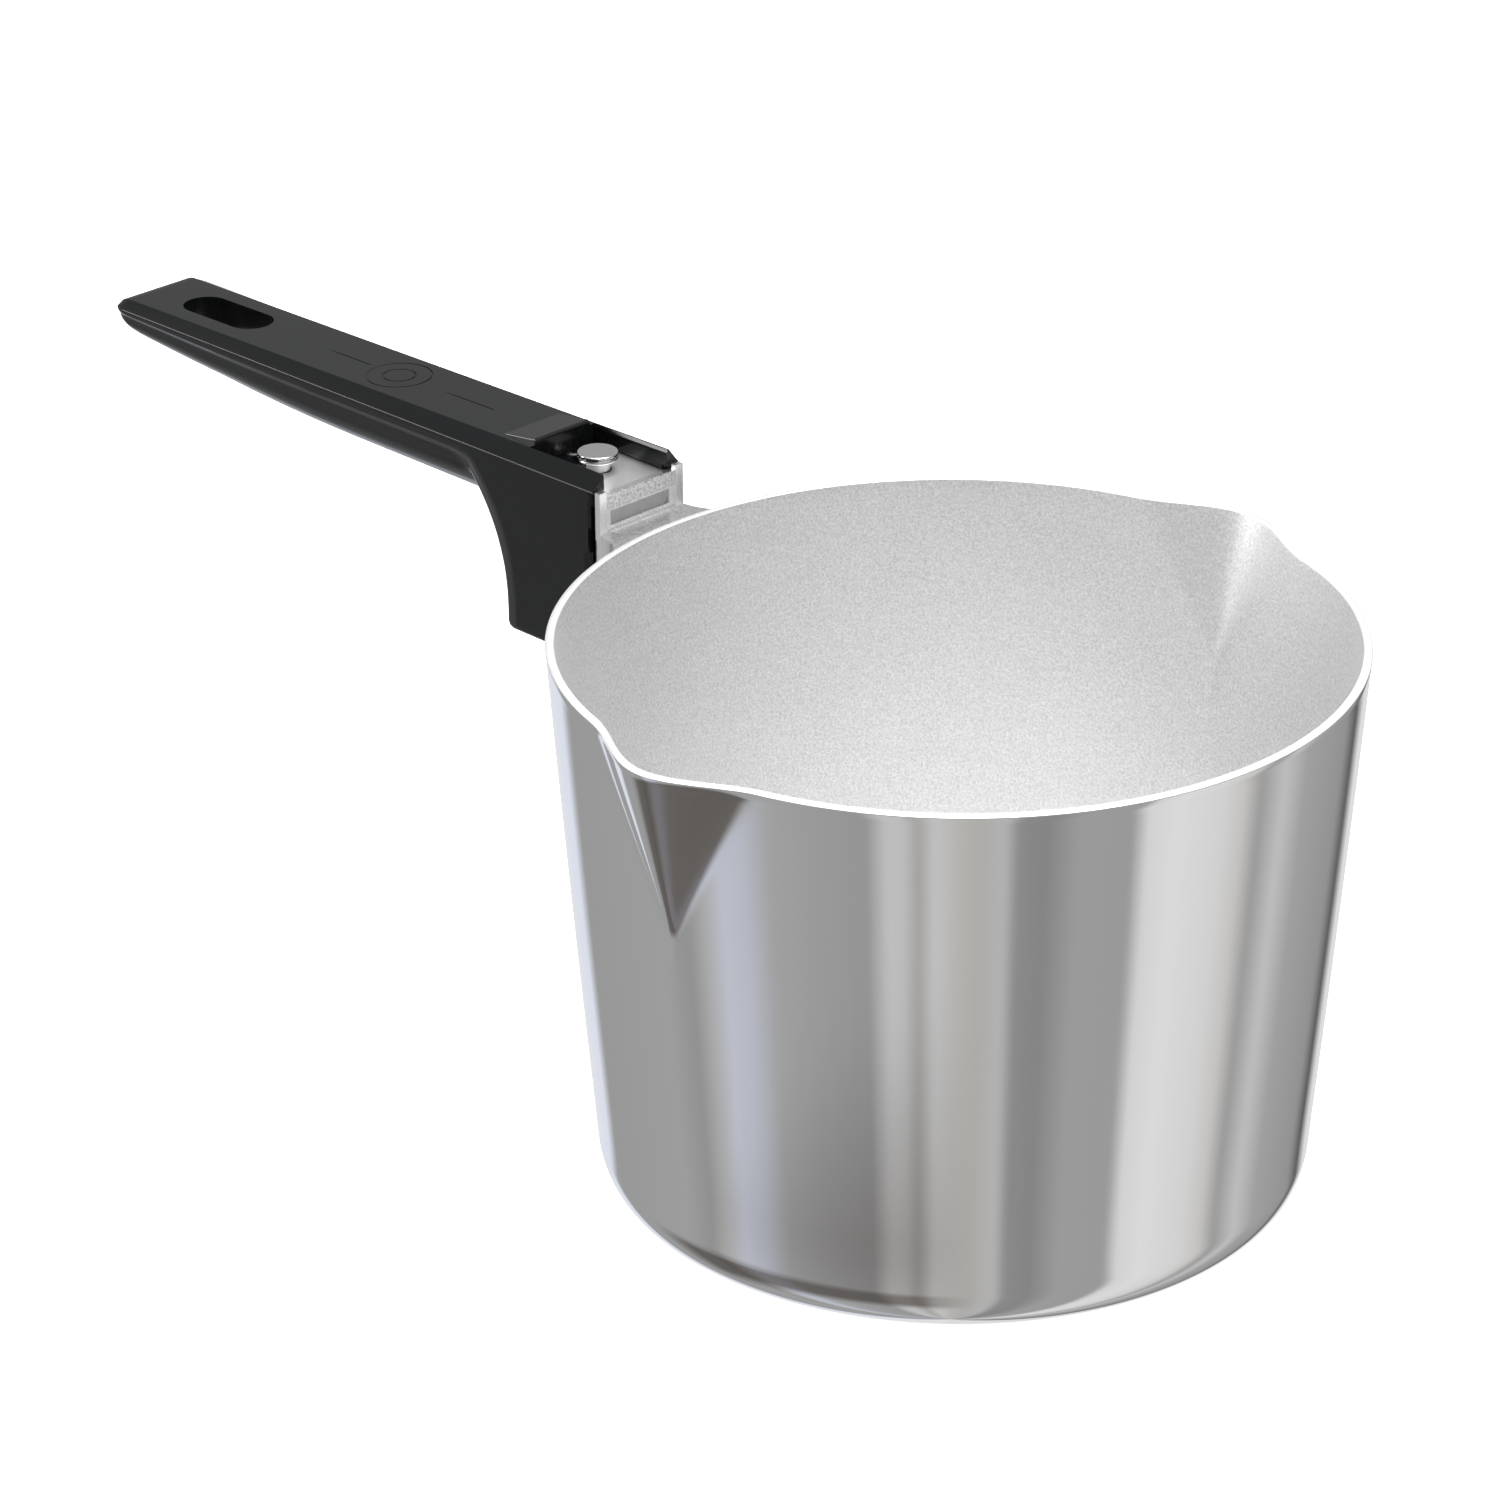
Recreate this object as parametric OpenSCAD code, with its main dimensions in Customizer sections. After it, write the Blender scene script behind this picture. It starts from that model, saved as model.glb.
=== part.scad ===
// Cast aluminium melting and pouring pot with two spouts and a clip-off moulded handle.
// Origin at the centre of the underside, +Z up, handle along -X, spouts along +Y and -Y.

/* [Pot] */
// Outside diameter at the rim
rim_d = 160; // [120:1:200]
// Height from the underside to the rim
pot_h = 114.5; // [80:0.5:150]
// Diameter the wall would have at the underside, before its corner is rounded
base_d = 141; // [100:1:190]
// How far the rounded bottom corner reaches inwards
corner_w = 5.2; // [2:0.1:10]
// How far the rounded bottom corner reaches upwards
corner_h = 9.6; // [4:0.1:20]
// Width of the machined land on the rim
rim_wall = 1.5; // [1:0.1:4]
// Wall thickness just above the floor
foot_wall = 2.8; // [1.5:0.1:6]
// Floor thickness
floor_t = 5; // [2:0.5:10]
// Radius inside between wall and floor
floor_r = 9; // [3:0.5:20]

/* [Pouring spouts] */
// How far a spout's tip stands out past the rim
spout_reach = 6.2; // [3:0.1:12]
// Half the width of a spout along the rim
spout_half_w = 22; // [12:0.5:32]
// Depth of the spout's flute down the outside of the wall
spout_depth = 38.5; // [15:0.5:60]
// Radius of the spout's tip
spout_tip_r = 4.5; // [2.5:0.1:10]

/* [Handle lug] */
// Width of the lug cast on the pot
lug_w = 23.4; // [23:0.1:30]
// How far the lug stands out from the rim
lug_reach = 11.2; // [8:0.1:20]
// Depth of the lug's ledge below the rim
ledge_drop = 2.3; // [1:0.1:6]
// Depth of the lug's rear face below the rim
lug_drop = 28; // [26:0.5:36]
// Fillet between the lug's sides and the pot
lug_fillet = 13; // [4:0.5:18]
// Height of the tongue's top above the rim
tongue_rise = 5; // [3:0.1:8]
// Thickness of the tongue
tongue_t = 2.6; // [2:0.1:4]
// Width of the tongue
tongue_w = 20.4; // [18:0.1:21]
// Length of the tongue past the lug's rear face
tongue_l = 15.4; // [14:0.1:20]
// Width of the heel block that carries the handle's load
heel_w = 10; // [6:0.5:14]
// Height of the heel block
heel_h = 12; // [6:0.5:16]
// Length of the heel block
heel_l = 8.6; // [5:0.1:14]
// Depth of the heel block's top below the rim
heel_drop = 13; // [11:0.5:16]

/* [Handle] */
// Length from the front face to the tip
handle_l = 147; // [110:1:190]
// Width over the parting line
handle_w = 24; // [23:0.1:34]
// Width of the flat top
flat_w = 16.8; // [16:0.1:22]
// Height of the flat top above the rim
top_rise = 9.6; // [9:0.1:14]
// Height of the sloping flank between the flat top and the parting line
flank_h = 3; // [1:0.1:5]
// Depth of the grip below its flat top
grip_h = 16.6; // [13:0.1:24]
// Depth of the cheeks' lower edge below the rim
cheek_drop = 32; // [30:0.5:40]
// Length of the cheeks along the handle
cheek_l = 22.6; // [20:0.1:34]
// Gap between the handle's front face and the lug
front_gap = 0.8; // [0.4:0.1:3]
// Clearance round the tongue and the heel
fit_gap = 0.3; // [0.2:0.05:0.6]
// Length of the hanging slot
hang_l = 23; // [12:0.5:40]
// Width of the hanging slot
hang_w = 10; // [6:0.5:12]
// Distance from the tip to the middle of the hanging slot
hang_inset = 21.5; // [16:0.5:40]
// Length of the thumb window over the tongue
window_l = 20; // [19.5:0.1:26]
// Rise of the thumb ramp above the flat top
ramp_rise = 1.2; // [0.4:0.1:2.5]
// Length of the thumb ramp
ramp_l = 9.3; // [5:0.1:16]

/* [Latch] */
// Diameter of the push button's head
button_d = 8.5; // [7:0.1:12]
// Diameter of the push button's stem
stem_d = 5.2; // [4:0.1:6.5]
// Height of the button's top above the rim
button_rise = 9; // [8.6:0.1:12]
// Travel of the push button
button_travel = 2; // [1:0.1:2.2]
// Distance from the lug's rear face to the button's axis
button_back = 10.4; // [9.5:0.1:12]
// Thickness of the leaf spring
leaf_t = 0.5; // [0.3:0.1:0.8]
// Width of the leaf spring's finger
finger_w = 7.2; // [7:0.1:9]
// Height of the leaf spring's tooth above the leaf
tooth_h = 1.9; // [1.4:0.1:2.2]
// Shank diameter of the two leaf screws
screw_d = 2.9; // [2:0.1:3.5]
// Head diameter of the two leaf screws
screw_head_d = 4.4; // [3.6:0.1:5]
// Distance between the two leaf screws
screw_pitch = 12; // [11:0.1:12]

/* [Hidden] */
$fn = 64;
eps = 0.01;
rim_r = rim_d / 2;
base_r = base_d / 2;
rear_x = -(rim_r + lug_reach);          // rear face of the lug
tongue_z = pot_h + tongue_rise;         // top of the tongue
tongue_end = rear_x - tongue_l;
web_t = 1.8;                            // upright web under the tongue
web_step = 0.4;                         // how much thinner the tongue's root is than the web
post_rise = 1.6;                        // rise of the lug's posts above the tongue
lug_corner_r = 2;
lug_root_x = -(rim_r - 10);             // where the lug ends inside the wall
sink = 0.5;                             // how far joined blocks run into each other
over = 2;                               // how far a cutter runs past what it cuts
spout_inner_lift = 7;                   // how much shallower a spout's flute is inside
spout_apex_r = 1;                       // radius at the foot of a flute
button_x = rear_x - button_back;
notch_r = stem_d / 2 + 0.3;             // open notch in the tongue, clear of the stem
front_x = rear_x - front_gap;           // front face of the handle
tip_x = front_x - handle_l;
top_z = pot_h + top_rise;
tip_round = 6.5;                        // length of the rounding at the end of the flat top
tip_drop = 4;                           // depth of that rounding
tip_lift = 6.6;                         // how much higher the belly is at the tip
throat_l = 13;                          // length of the curve from belly to cheek
throat_foot = 5;                        // height of the cheek's straight rear edge
belly_l = 35;                           // length of the level belly behind the cheeks
flute_w = 1.9;                          // how far the grip's flutes draw in
flute_share = 0.55;                     // depth of the grip at which the belly starts to round
window_x = front_x - window_l;
jaw_z = tongue_z - tongue_t - fit_gap;  // top of the jaw under the tongue
leaf_gap = 0.7;                         // gap between the leaf and the tongue at rest
leaf_z = tongue_z - tongue_t - leaf_gap;
tab_w = screw_pitch + 4;                // rear tab of the leaf, across the handle
tab_x = window_x - 0.2;
tab_l = 4.8;
tab_gap = 0.2;                          // gap round the tab in the window's rear end
screw_x = tab_x + tab_l / 2;
screw_l = 8;                            // shank under the leaf
pan_h = 1.6;                            // height of a screw's head
pan_round = 0.7;
pilot_gap = 1;                          // pilot hole past the screw's end
tooth_x = button_x + 5.5;               // middle of the tooth
tooth_l = 2.4;
tooth_tip_l = 0.6;                      // level top of the tooth
tooth_gap = 0.2;                        // gap above the tooth in its pocket
finger_gap = 0.7;                       // gap beside the leaf's finger
washer_d = 5.4;
washer_t = 0.6;
rivet_d = 3;
rivet_h = 0.3;                          // riveted end below the washer
finger_floor_gap = 2;                   // room left under the pressed button
finger_drop = leaf_t + washer_t + rivet_h + button_travel + finger_floor_gap;
tail_gap = 0.7;                         // gap behind the tongue's end
heel_gap = 0.6;                         // gap behind the heel block
head_t = 0.65;                          // thickness of the button's head
head_round = 0.25;
groove_t = 0.6;
groove_deep = 0.8;
ring_t = 0.45;
ring_step = 0.1;                        // how much smaller the ring is than the head

// Points of an arc about c, from angle a0 to a1, with radii rx and ry
function arc(c, rx, ry, a0, a1, n = 8) =
    [for (i = [0:n]) let (a = a0 + (a1 - a0) * i / n) c + [rx * cos(a), ry * sin(a)]];
// Outside radius of the wall at height z
function wall_r(z) = base_r + (rim_r - base_r) * z / pot_h;
// Wall thickness at height z
function wall_t(z) = foot_wall + (rim_wall - foot_wall) * (z - floor_t) / (pot_h - floor_t);
// Inside radius of the wall at height z
function bore_r(z) = wall_r(z) - wall_t(z);

// Solid turned to the outside of the pot
module pot_outside() {
    flat_r = base_r - corner_w;
    rotate_extrude($fn = 128)
        polygon(concat([[0, 0]],
            arc([flat_r, corner_h], wall_r(corner_h) - flat_r, corner_h, -90, 0),
            [[rim_r, pot_h], [0, pot_h]]));
}

// Solid turned to the inside of the pot, standing proud of the rim
module pot_inside() {
    r = bore_r(floor_t + floor_r);
    rotate_extrude($fn = 128)
        polygon(concat([[0, floor_t]],
            arc([r - floor_r, floor_t + floor_r], floor_r, floor_r, -90, 0),
            [[bore_r(pot_h), pot_h], [bore_r(pot_h), pot_h + over], [0, pot_h + over]]));
}

// Wedge of one spout: drawn in by t from the outside, down to depth d, topped at z_top
module spout_wedge(t, d, z_top) {
    foot_z = pot_h - d;
    side_y = sqrt(pow(rim_r, 2) - pow(spout_half_w, 2)) - rim_wall / 2;
    top_h = z_top - pot_h + sink;
    hull() {
        translate([0, rim_r + spout_reach - spout_tip_r, pot_h - sink])
            cylinder(r = spout_tip_r - t, h = top_h, $fn = 32);
        for (s = [-1, 1])
            translate([s * (spout_half_w - t), side_y - t, pot_h - sink])
                cylinder(r = rim_wall / 3, h = top_h, $fn = 12);
        translate([0, wall_r(foot_z) - spout_apex_r - t, foot_z])
            cylinder(r = spout_apex_r, h = sink, $fn = 16);
    }
}

// Plan of the lug: a square-ended block with a concave fillet into the pot on each side
module lug_plan() {
    w = lug_w / 2;
    cy = w + lug_fillet;
    cx = -sqrt(pow(rim_r + lug_fillet, 2) - pow(cy, 2));
    a = atan2(-cy, -cx);
    for (s = [0, 1])
        mirror([0, s])
            polygon(concat([[rear_x, 0]],
                arc([rear_x + lug_corner_r, w - lug_corner_r], lug_corner_r, lug_corner_r, 180, 90, 4),
                arc([cx, cy], lug_fillet, lug_fillet, -90, a),
                [[lug_root_x, w], [lug_root_x, 0]]));
}

// Solid lug under the rim: its underside slopes at 45 degrees into the wall
module lug_block() {
    ledge_z = pot_h - ledge_drop;
    low_z = pot_h - lug_drop;
    intersection() {
        translate([0, 0, low_z - lug_reach])
            linear_extrude(lug_drop + lug_reach)
                lug_plan();
        rotate([90, 0, 0])
            linear_extrude(4 * lug_w, center = true)
                polygon([[rear_x, ledge_z], [rear_x, low_z], [rear_x + lug_reach, low_z - lug_reach],
                         [lug_root_x, low_z - lug_reach], [lug_root_x, ledge_z]]);
    }
}

// Upright web between the ledge and the tongue, closed by a post at each end
module lug_web() {
    foot_z = pot_h - ledge_drop - sink;
    end_y = lug_w / 2 - lug_corner_r;
    translate([rear_x, -end_y, foot_z])
        cube([web_t, 2 * end_y, tongue_z - tongue_t + sink - foot_z]);
    for (s = [-1, 1])
        translate([rear_x + lug_corner_r, s * end_y, foot_z])
            cylinder(r = lug_corner_r, h = tongue_z + post_rise - foot_z);
}

// Flat tongue with the notch for the button's stem and the pocket for the leaf's tooth
module tongue() {
    low_z = tongue_z - tongue_t;
    end_y = lug_w / 2 - lug_corner_r;
    difference() {
        union() {
            translate([tongue_end, -tongue_w / 2, low_z])
                cube([tongue_l + sink, tongue_w, tongue_t]);
            translate([rear_x - eps, -end_y, low_z])
                cube([web_t - web_step, 2 * end_y, tongue_t]);
        }
        stem_notch();
        translate([tooth_x - tooth_l / 2 - fit_gap, -finger_w / 2 - fit_gap, low_z - over])
            cube([tooth_l + 2 * fit_gap, finger_w + 2 * fit_gap, over + tooth_h - leaf_gap + tooth_gap]);
    }
}

// Lug cast on the pot: block, web, posts, tongue and the heel that carries the handle's load
module lug() {
    lug_block();
    lug_web();
    tongue();
    translate([rear_x - heel_l, -heel_w / 2, pot_h - heel_drop - heel_h])
        cube([heel_l + sink, heel_w, heel_h]);
}

// Notch in the tongue, open to the rear, that lets the button's stem pass
module stem_notch() {
    translate([button_x, 0, tongue_z - tongue_t - over]) {
        cylinder(r = notch_r, h = tongue_t + 2 * over);
        translate([-tongue_l, -notch_r, 0])
            cube([tongue_l, 2 * notch_r, tongue_t + 2 * over]);
    }
}

module pot_body() {
    color([0.72, 0.73, 0.75])
        difference() {
            union() {
                pot_outside();
                for (s = [0, 1])
                    mirror([0, s, 0])
                        spout_wedge(0, spout_depth, pot_h);
                lug();
            }
            pot_inside();
            for (s = [0, 1])
                mirror([0, s, 0])
                    spout_wedge(rim_wall, spout_depth - spout_inner_lift, pot_h + over);
        }
}

// Cross-section of the grip: flat top, sloping flanks, hollow flutes and a rounded belly
module grip_section() {
    flute_z = -flute_share * grip_h;
    flute_x = handle_w / 2 - flute_w;
    for (s = [0, 1])
        mirror([s, 0])
            polygon(concat([[-eps, 0], [flat_w / 2, 0], [handle_w / 2, -flank_h]],
                [[flute_x, flute_z]],
                arc([0, flute_z], flute_x, grip_h + flute_z, 0, -90, 10),
                [[-eps, -grip_h]]));
}

// Side view of the whole handle: top, tip, belly and the deep cheek
module side_view() {
    cheek_x = front_x - cheek_l;
    belly_z = top_z - grip_h;
    belly_x = cheek_x - belly_l;
    low_z = pot_h - cheek_drop;
    polygon(concat(
        [[front_x, top_z]],
        arc([tip_x + tip_round, top_z - tip_drop], tip_round, tip_drop, 90, 180, 6),
        [for (i = [0:9]) let (u = 1 - i / 9)
            [belly_x + (tip_x - belly_x) * u, belly_z + tip_lift * pow(u, 2)]],
        arc([cheek_x - throat_l, low_z + throat_foot], throat_l, belly_z - low_z - throat_foot, 90, 0, 8),
        [[cheek_x, low_z], [front_x, low_z]]));
}

module handle_body() {
    color([0.03, 0.03, 0.035])
        difference() {
            union() {
                intersection() {
                    translate([tip_x - over, 0, top_z])
                        rotate([90, 0, 90])
                            linear_extrude(handle_l + over)
                                grip_section();
                    rotate([90, 0, 0])
                        linear_extrude(handle_w + over, center = true)
                            side_view();
                }
                cheeks();
                thumb_ramp();
            }
            latch_space();
            hang_slot();
            heel_socket();
        }
}

// The two deep cheeks and the block between them
module cheeks() {
    low_z = pot_h - cheek_drop;
    intersection() {
        rotate([90, 0, 0])
            linear_extrude(handle_w, center = true)
                side_view();
        translate([front_x - cheek_l - throat_l, -handle_w, low_z - over])
            cube([cheek_l + throat_l, 2 * handle_w, top_z - flank_h - low_z + over]);
    }
}

// Wedge ahead of the window that stops the thumb
module thumb_ramp() {
    w = flat_w - 1.6;
    lip = 0.7;
    rotate([90, 0, 0])
        linear_extrude(w, center = true)
            polygon([[window_x - ramp_l, top_z - sink], [window_x - ramp_l, top_z],
                     [window_x - lip, top_z + ramp_rise], [window_x, top_z + ramp_rise - lip],
                     [window_x, top_z - sink]]);
}

// Window, tongue channel, leaf seat, finger pocket and pilot holes
module latch_space() {
    seat_z = leaf_z - leaf_t;
    tab_end = tab_x + tab_l;
    translate([tab_x - tab_gap, -flat_w / 2, seat_z])
        cube([tab_l + 2 * tab_gap, flat_w, tongue_z + fit_gap - seat_z]);
    translate([window_x, -flat_w / 2, jaw_z])
        cube([window_l + over, flat_w, top_z + ramp_rise + over - jaw_z]);
    translate([tongue_end - tail_gap, -tongue_w / 2 - fit_gap, jaw_z])
        cube([front_x - tongue_end + tail_gap + over, tongue_w + 2 * fit_gap, tongue_t + 2 * fit_gap]);
    translate([tab_end - sink, -finger_w / 2 - finger_gap, leaf_z - finger_drop])
        cube([front_x - tab_end + sink + over, finger_w + 2 * finger_gap, finger_drop + sink]);
    for (s = [-1, 1])
        translate([screw_x, s * screw_pitch / 2, leaf_z - screw_l - pilot_gap])
            cylinder(d = screw_d + 0.1, h = screw_l + pilot_gap + sink);
}

// Long round-ended hole through the grip for hanging the pot up
module hang_slot() {
    x0 = tip_x + hang_inset;
    a = (hang_l - hang_w) / 2;
    for (s = [-1, 1])
        translate([x0 + s * a, 0, top_z - grip_h - over])
            cylinder(d = hang_w, h = grip_h + 2 * over);
    translate([x0 - a, -hang_w / 2, top_z - grip_h - over])
        cube([2 * a, hang_w, grip_h + 2 * over]);
}

// Socket for the lug's heel block
module heel_socket() {
    translate([rear_x - heel_l - heel_gap, -heel_w / 2 - fit_gap, pot_h - heel_drop - heel_h - fit_gap])
        cube([heel_l + heel_gap + over, heel_w + 2 * fit_gap, heel_h + 2 * fit_gap]);
}

// Mushroom push button with a turned groove, riveted through the leaf
module latch_button() {
    head_r = button_d / 2;
    ring_r = head_r - ring_step;
    head_z = pot_h + button_rise;
    ring_z = head_z - head_t - groove_t;
    foot_z = leaf_z - leaf_t - washer_t - rivet_h;
    color([0.8, 0.8, 0.82])
        translate([button_x, 0, 0])
            rotate_extrude()
                polygon([[0, foot_z], [rivet_d / 2, foot_z], [rivet_d / 2, leaf_z],
                         [stem_d / 2, leaf_z], [stem_d / 2, ring_z - ring_t],
                         [ring_r, ring_z - ring_t], [ring_r, ring_z],
                         [head_r - groove_deep, ring_z], [head_r - groove_deep, head_z - head_t],
                         [head_r, head_z - head_t], [head_r, head_z - head_round],
                         [head_r - head_round, head_z], [0, head_z]]);
}

// Washer under the leaf that the button's end is riveted over
module button_washer() {
    color([0.7, 0.7, 0.72])
        translate([button_x, 0, leaf_z - leaf_t - washer_t])
            difference() {
                cylinder(d = washer_d, h = washer_t);
                translate([0, 0, -over])
                    cylinder(d = rivet_d, h = washer_t + 2 * over);
            }
}

// Spring-steel leaf: rear tab under two screws, finger under the button, locking tooth
module latch_spring() {
    finger_x = tooth_x + tooth_l / 2 + 0.4;
    hole_z = leaf_z - leaf_t - over;
    color([0.55, 0.56, 0.58])
        difference() {
            union() {
                translate([tab_x, -tab_w / 2, leaf_z - leaf_t])
                    cube([tab_l, tab_w, leaf_t]);
                translate([tab_x, -finger_w / 2, leaf_z - leaf_t])
                    cube([finger_x - tab_x, finger_w, leaf_t]);
                translate([tooth_x, 0, leaf_z])
                    rotate([90, 0, 0])
                        linear_extrude(finger_w, center = true)
                            polygon([[-tooth_l / 2, -eps], [-tooth_l / 2, tooth_h],
                                     [tooth_tip_l - tooth_l / 2, tooth_h], [tooth_l / 2, -eps]]);
            }
            translate([button_x, 0, hole_z])
                cylinder(d = rivet_d + 0.1, h = leaf_t + 2 * over);
            for (s = [-1, 1])
                translate([screw_x, s * screw_pitch / 2, hole_z])
                    cylinder(d = screw_d + fit_gap, h = leaf_t + 2 * over);
        }
}

// Two pan-head screws that hold the leaf's tab down
module spring_screws() {
    head_r = screw_head_d / 2;
    color([0.75, 0.75, 0.77])
        for (s = [-1, 1])
            translate([screw_x, s * screw_pitch / 2, leaf_z])
                rotate_extrude()
                    polygon([[0, -screw_l], [screw_d / 2, -screw_l], [screw_d / 2, 0], [head_r, 0],
                             [head_r, pan_h - pan_round], [head_r - pan_round, pan_h], [0, pan_h]]);
}

pot_body();
handle_body();
latch_button();
button_washer();
latch_spring();
spring_screws();
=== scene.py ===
import math

import bmesh
import bpy
from mathutils import Matrix, Vector


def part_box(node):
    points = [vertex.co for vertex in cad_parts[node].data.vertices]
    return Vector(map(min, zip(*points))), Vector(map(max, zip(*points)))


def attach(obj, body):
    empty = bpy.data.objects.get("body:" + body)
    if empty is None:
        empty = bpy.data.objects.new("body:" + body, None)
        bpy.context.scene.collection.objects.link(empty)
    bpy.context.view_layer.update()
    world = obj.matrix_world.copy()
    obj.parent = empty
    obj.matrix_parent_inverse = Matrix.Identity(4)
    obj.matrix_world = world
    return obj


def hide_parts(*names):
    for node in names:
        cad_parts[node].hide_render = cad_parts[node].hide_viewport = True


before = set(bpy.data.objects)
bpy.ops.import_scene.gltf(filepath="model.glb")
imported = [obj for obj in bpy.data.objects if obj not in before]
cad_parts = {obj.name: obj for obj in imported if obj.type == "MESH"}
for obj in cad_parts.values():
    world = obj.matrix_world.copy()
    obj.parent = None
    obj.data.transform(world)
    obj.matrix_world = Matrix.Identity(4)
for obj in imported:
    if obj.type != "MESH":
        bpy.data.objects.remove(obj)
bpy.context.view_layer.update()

# ---------------------------------------------------------------- camera
# A long lens three quarters on to the pot, on the side away from the handle
# and a little above the rim, so that the blasted inside shows.
MM = 0.001                             # one millimetre in the frame's metres
scene = bpy.context.scene
sensor_width, focal_length = 36, 144.83
eye = Vector((731.89, -773.96, 595.16)) * MM
look_at = Vector((-22.14, -34.85, 94.31)) * MM
camera_roll = math.radians(-0.288)
camera_data = bpy.data.cameras.new("camera")
camera_data.sensor_width = sensor_width
camera_data.lens = focal_length
camera = bpy.data.objects.new("camera", camera_data)
scene.collection.objects.link(camera)
camera.matrix_world = (Matrix.Translation(eye)
                       @ (look_at - eye).to_track_quat("-Z", "Y").to_matrix().to_4x4()
                       @ Matrix.Rotation(camera_roll, 4, "Z"))
scene.camera = camera

# ---------------------------------------------------------------- studio
# Soft light all round: tall pale and grey screens below and around the table,
# which the polished wall mirrors as upright bands, and a bright sheet overhead.
scene.view_settings.view_transform = "Standard"
scene.view_settings.look = "None"
camera_azimuth = math.atan2(eye.y - look_at.y, eye.x - look_at.x)


def add_node(nodes, kind, **values):
    """A node of one kind with its properties set."""
    node = nodes.new(kind)
    for name, value in values.items():
        setattr(node, name, value)
    return node


def sum_node(tree, operation, first, second):
    """A Math node between two sockets or numbers."""
    node = add_node(tree.nodes, "ShaderNodeMath", operation=operation)
    for socket, value in zip(node.inputs, (first, second)):
        if isinstance(value, (int, float)):
            socket.default_value = value
        else:
            tree.links.new(value, socket)
    return node.outputs[0]


def ramp_node(tree, factor, stops):
    """A colour ramp from (place, grey or colour) stops."""
    ramp = add_node(tree.nodes, "ShaderNodeValToRGB")
    elements = ramp.color_ramp.elements
    for spare in list(elements)[1:]:
        elements.remove(spare)
    for i, (place, colour) in enumerate(stops):
        element = elements[0] if i == 0 else elements.new(place)
        element.position = place
        element.color = (*colour, 1) if isinstance(colour, tuple) else (colour,) * 3 + (1,)
    tree.links.new(factor, ramp.inputs["Fac"])
    return ramp.outputs["Color"]


world = bpy.data.worlds.new("studio")
scene.world = world
world.use_nodes = True
sky = world.node_tree
sky.nodes.clear()
direction = add_node(sky.nodes, "ShaderNodeTexCoord").outputs["Generated"]
axes = add_node(sky.nodes, "ShaderNodeSeparateXYZ")
sky.links.new(direction, axes.inputs[0])
around = sum_node(sky, "ARCTAN2", axes.outputs["Y"], axes.outputs["X"])
around = sum_node(sky, "DIVIDE", around, 2 * math.pi)
around = sum_node(sky, "ADD", around, 1.5 - camera_azimuth / (2 * math.pi))
around = sum_node(sky, "FRACT", around, 0)
COOL, WARM = (0.92, 0.96, 1.08), (1.03, 1.0, 0.96)


def screen(degrees, grey, tint=(1, 1, 1)):
    """A stop of the band ramp: degrees round from the camera and the screen's tone."""
    return 0.5 + degrees / 360, tuple(grey * t for t in tint)


screens = [
    screen(-180, 0.80), screen(-152, 0.80, COOL), screen(-145, 0.33), screen(-100, 0.36),
    screen(-89, 0.30), screen(-82, 0.43), screen(-75, 0.58, COOL), screen(-67, 0.54, COOL),
    screen(-58, 0.38), screen(-46, 0.35), screen(-28, 0.32), screen(-22, 0.56),
    screen(-17, 0.54), screen(-13, 0.38, WARM), screen(-8, 0.57), screen(-1, 0.48, WARM),
    screen(5, 0.44, WARM), screen(12, 0.48), screen(16, 0.27), screen(24, 0.25),
    screen(34, 0.35), screen(50, 0.34), screen(55, 0.69), screen(64, 0.75),
    screen(80, 0.68), screen(88, 0.58, WARM), screen(95, 0.34), screen(105, 0.55),
    screen(116, 0.37), screen(140, 0.30), screen(149, 0.10), screen(158, 0.75)]
bands = ramp_node(sky, around, screens)
height = sum_node(sky, "MULTIPLY_ADD", axes.outputs["Z"], 0.5)
height.node.inputs[2].default_value = 0.5
dim_table = (0.36, 0.33, 0.31)
under_table = ramp_node(sky, height, [
    (0.0, 1.0), (0.06, 1.0), (0.1, dim_table), (0.165, dim_table), (0.2, 1.0)])
shaded_side = ramp_node(sky, around, [(0.14, 0), (0.2, 1), (0.46, 1), (0.52, 0)])


def colour_mix(kind, factor, first, second):
    """A colour Mix node of one kind between two sockets or colours."""
    node = add_node(sky.nodes, "ShaderNodeMix", data_type="RGBA", blend_type=kind)
    for socket, value in zip((node.inputs["Factor"], node.inputs["A"], node.inputs["B"]),
                             (factor, first, second)):
        if isinstance(value, bpy.types.NodeSocket):
            sky.links.new(value, socket)
        else:
            socket.default_value = value
    return node.outputs["Result"]


low_screens = colour_mix("MULTIPLY", shaded_side, bands, under_table)
high_sheet = ramp_node(sky, height, [
    (0.5, 0.38), (0.6, 0.36), (0.7, 0.36), (0.76, 0.34), (0.86, 0.36), (0.93, 0.9), (1.0, 1.0)])
blend_height = add_node(sky.nodes, "ShaderNodeMapRange", interpolation_type="SMOOTHSTEP")
blend_height.inputs["From Min"].default_value = -0.2
blend_height.inputs["From Max"].default_value = 0.1
sky.links.new(axes.outputs["Z"], blend_height.inputs["Value"])
strip_glow = 8.0                       # a small, far brighter lamp strip on the shaded side
strip_across = ramp_node(sky, around, [(0.222, 0), (0.228, 1), (0.262, 1), (0.268, 0)])
strip_up = ramp_node(sky, height, [(0.42, 0), (0.44, 1), (0.69, 1), (0.71, 0)])
strip_lamp = colour_mix("MULTIPLY", 1.0, strip_across, strip_up)
strip_lamp = colour_mix("MULTIPLY", 1.0, strip_lamp, (strip_glow,) * 3 + (1,))
open_sky = colour_mix("MIX", blend_height.outputs[0], low_screens, high_sheet)
glow = add_node(sky.nodes, "ShaderNodeBackground")
glow.inputs["Strength"].default_value = 1.0
sky.links.new(colour_mix("ADD", 1.0, open_sky, strip_lamp), glow.inputs["Color"])
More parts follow.
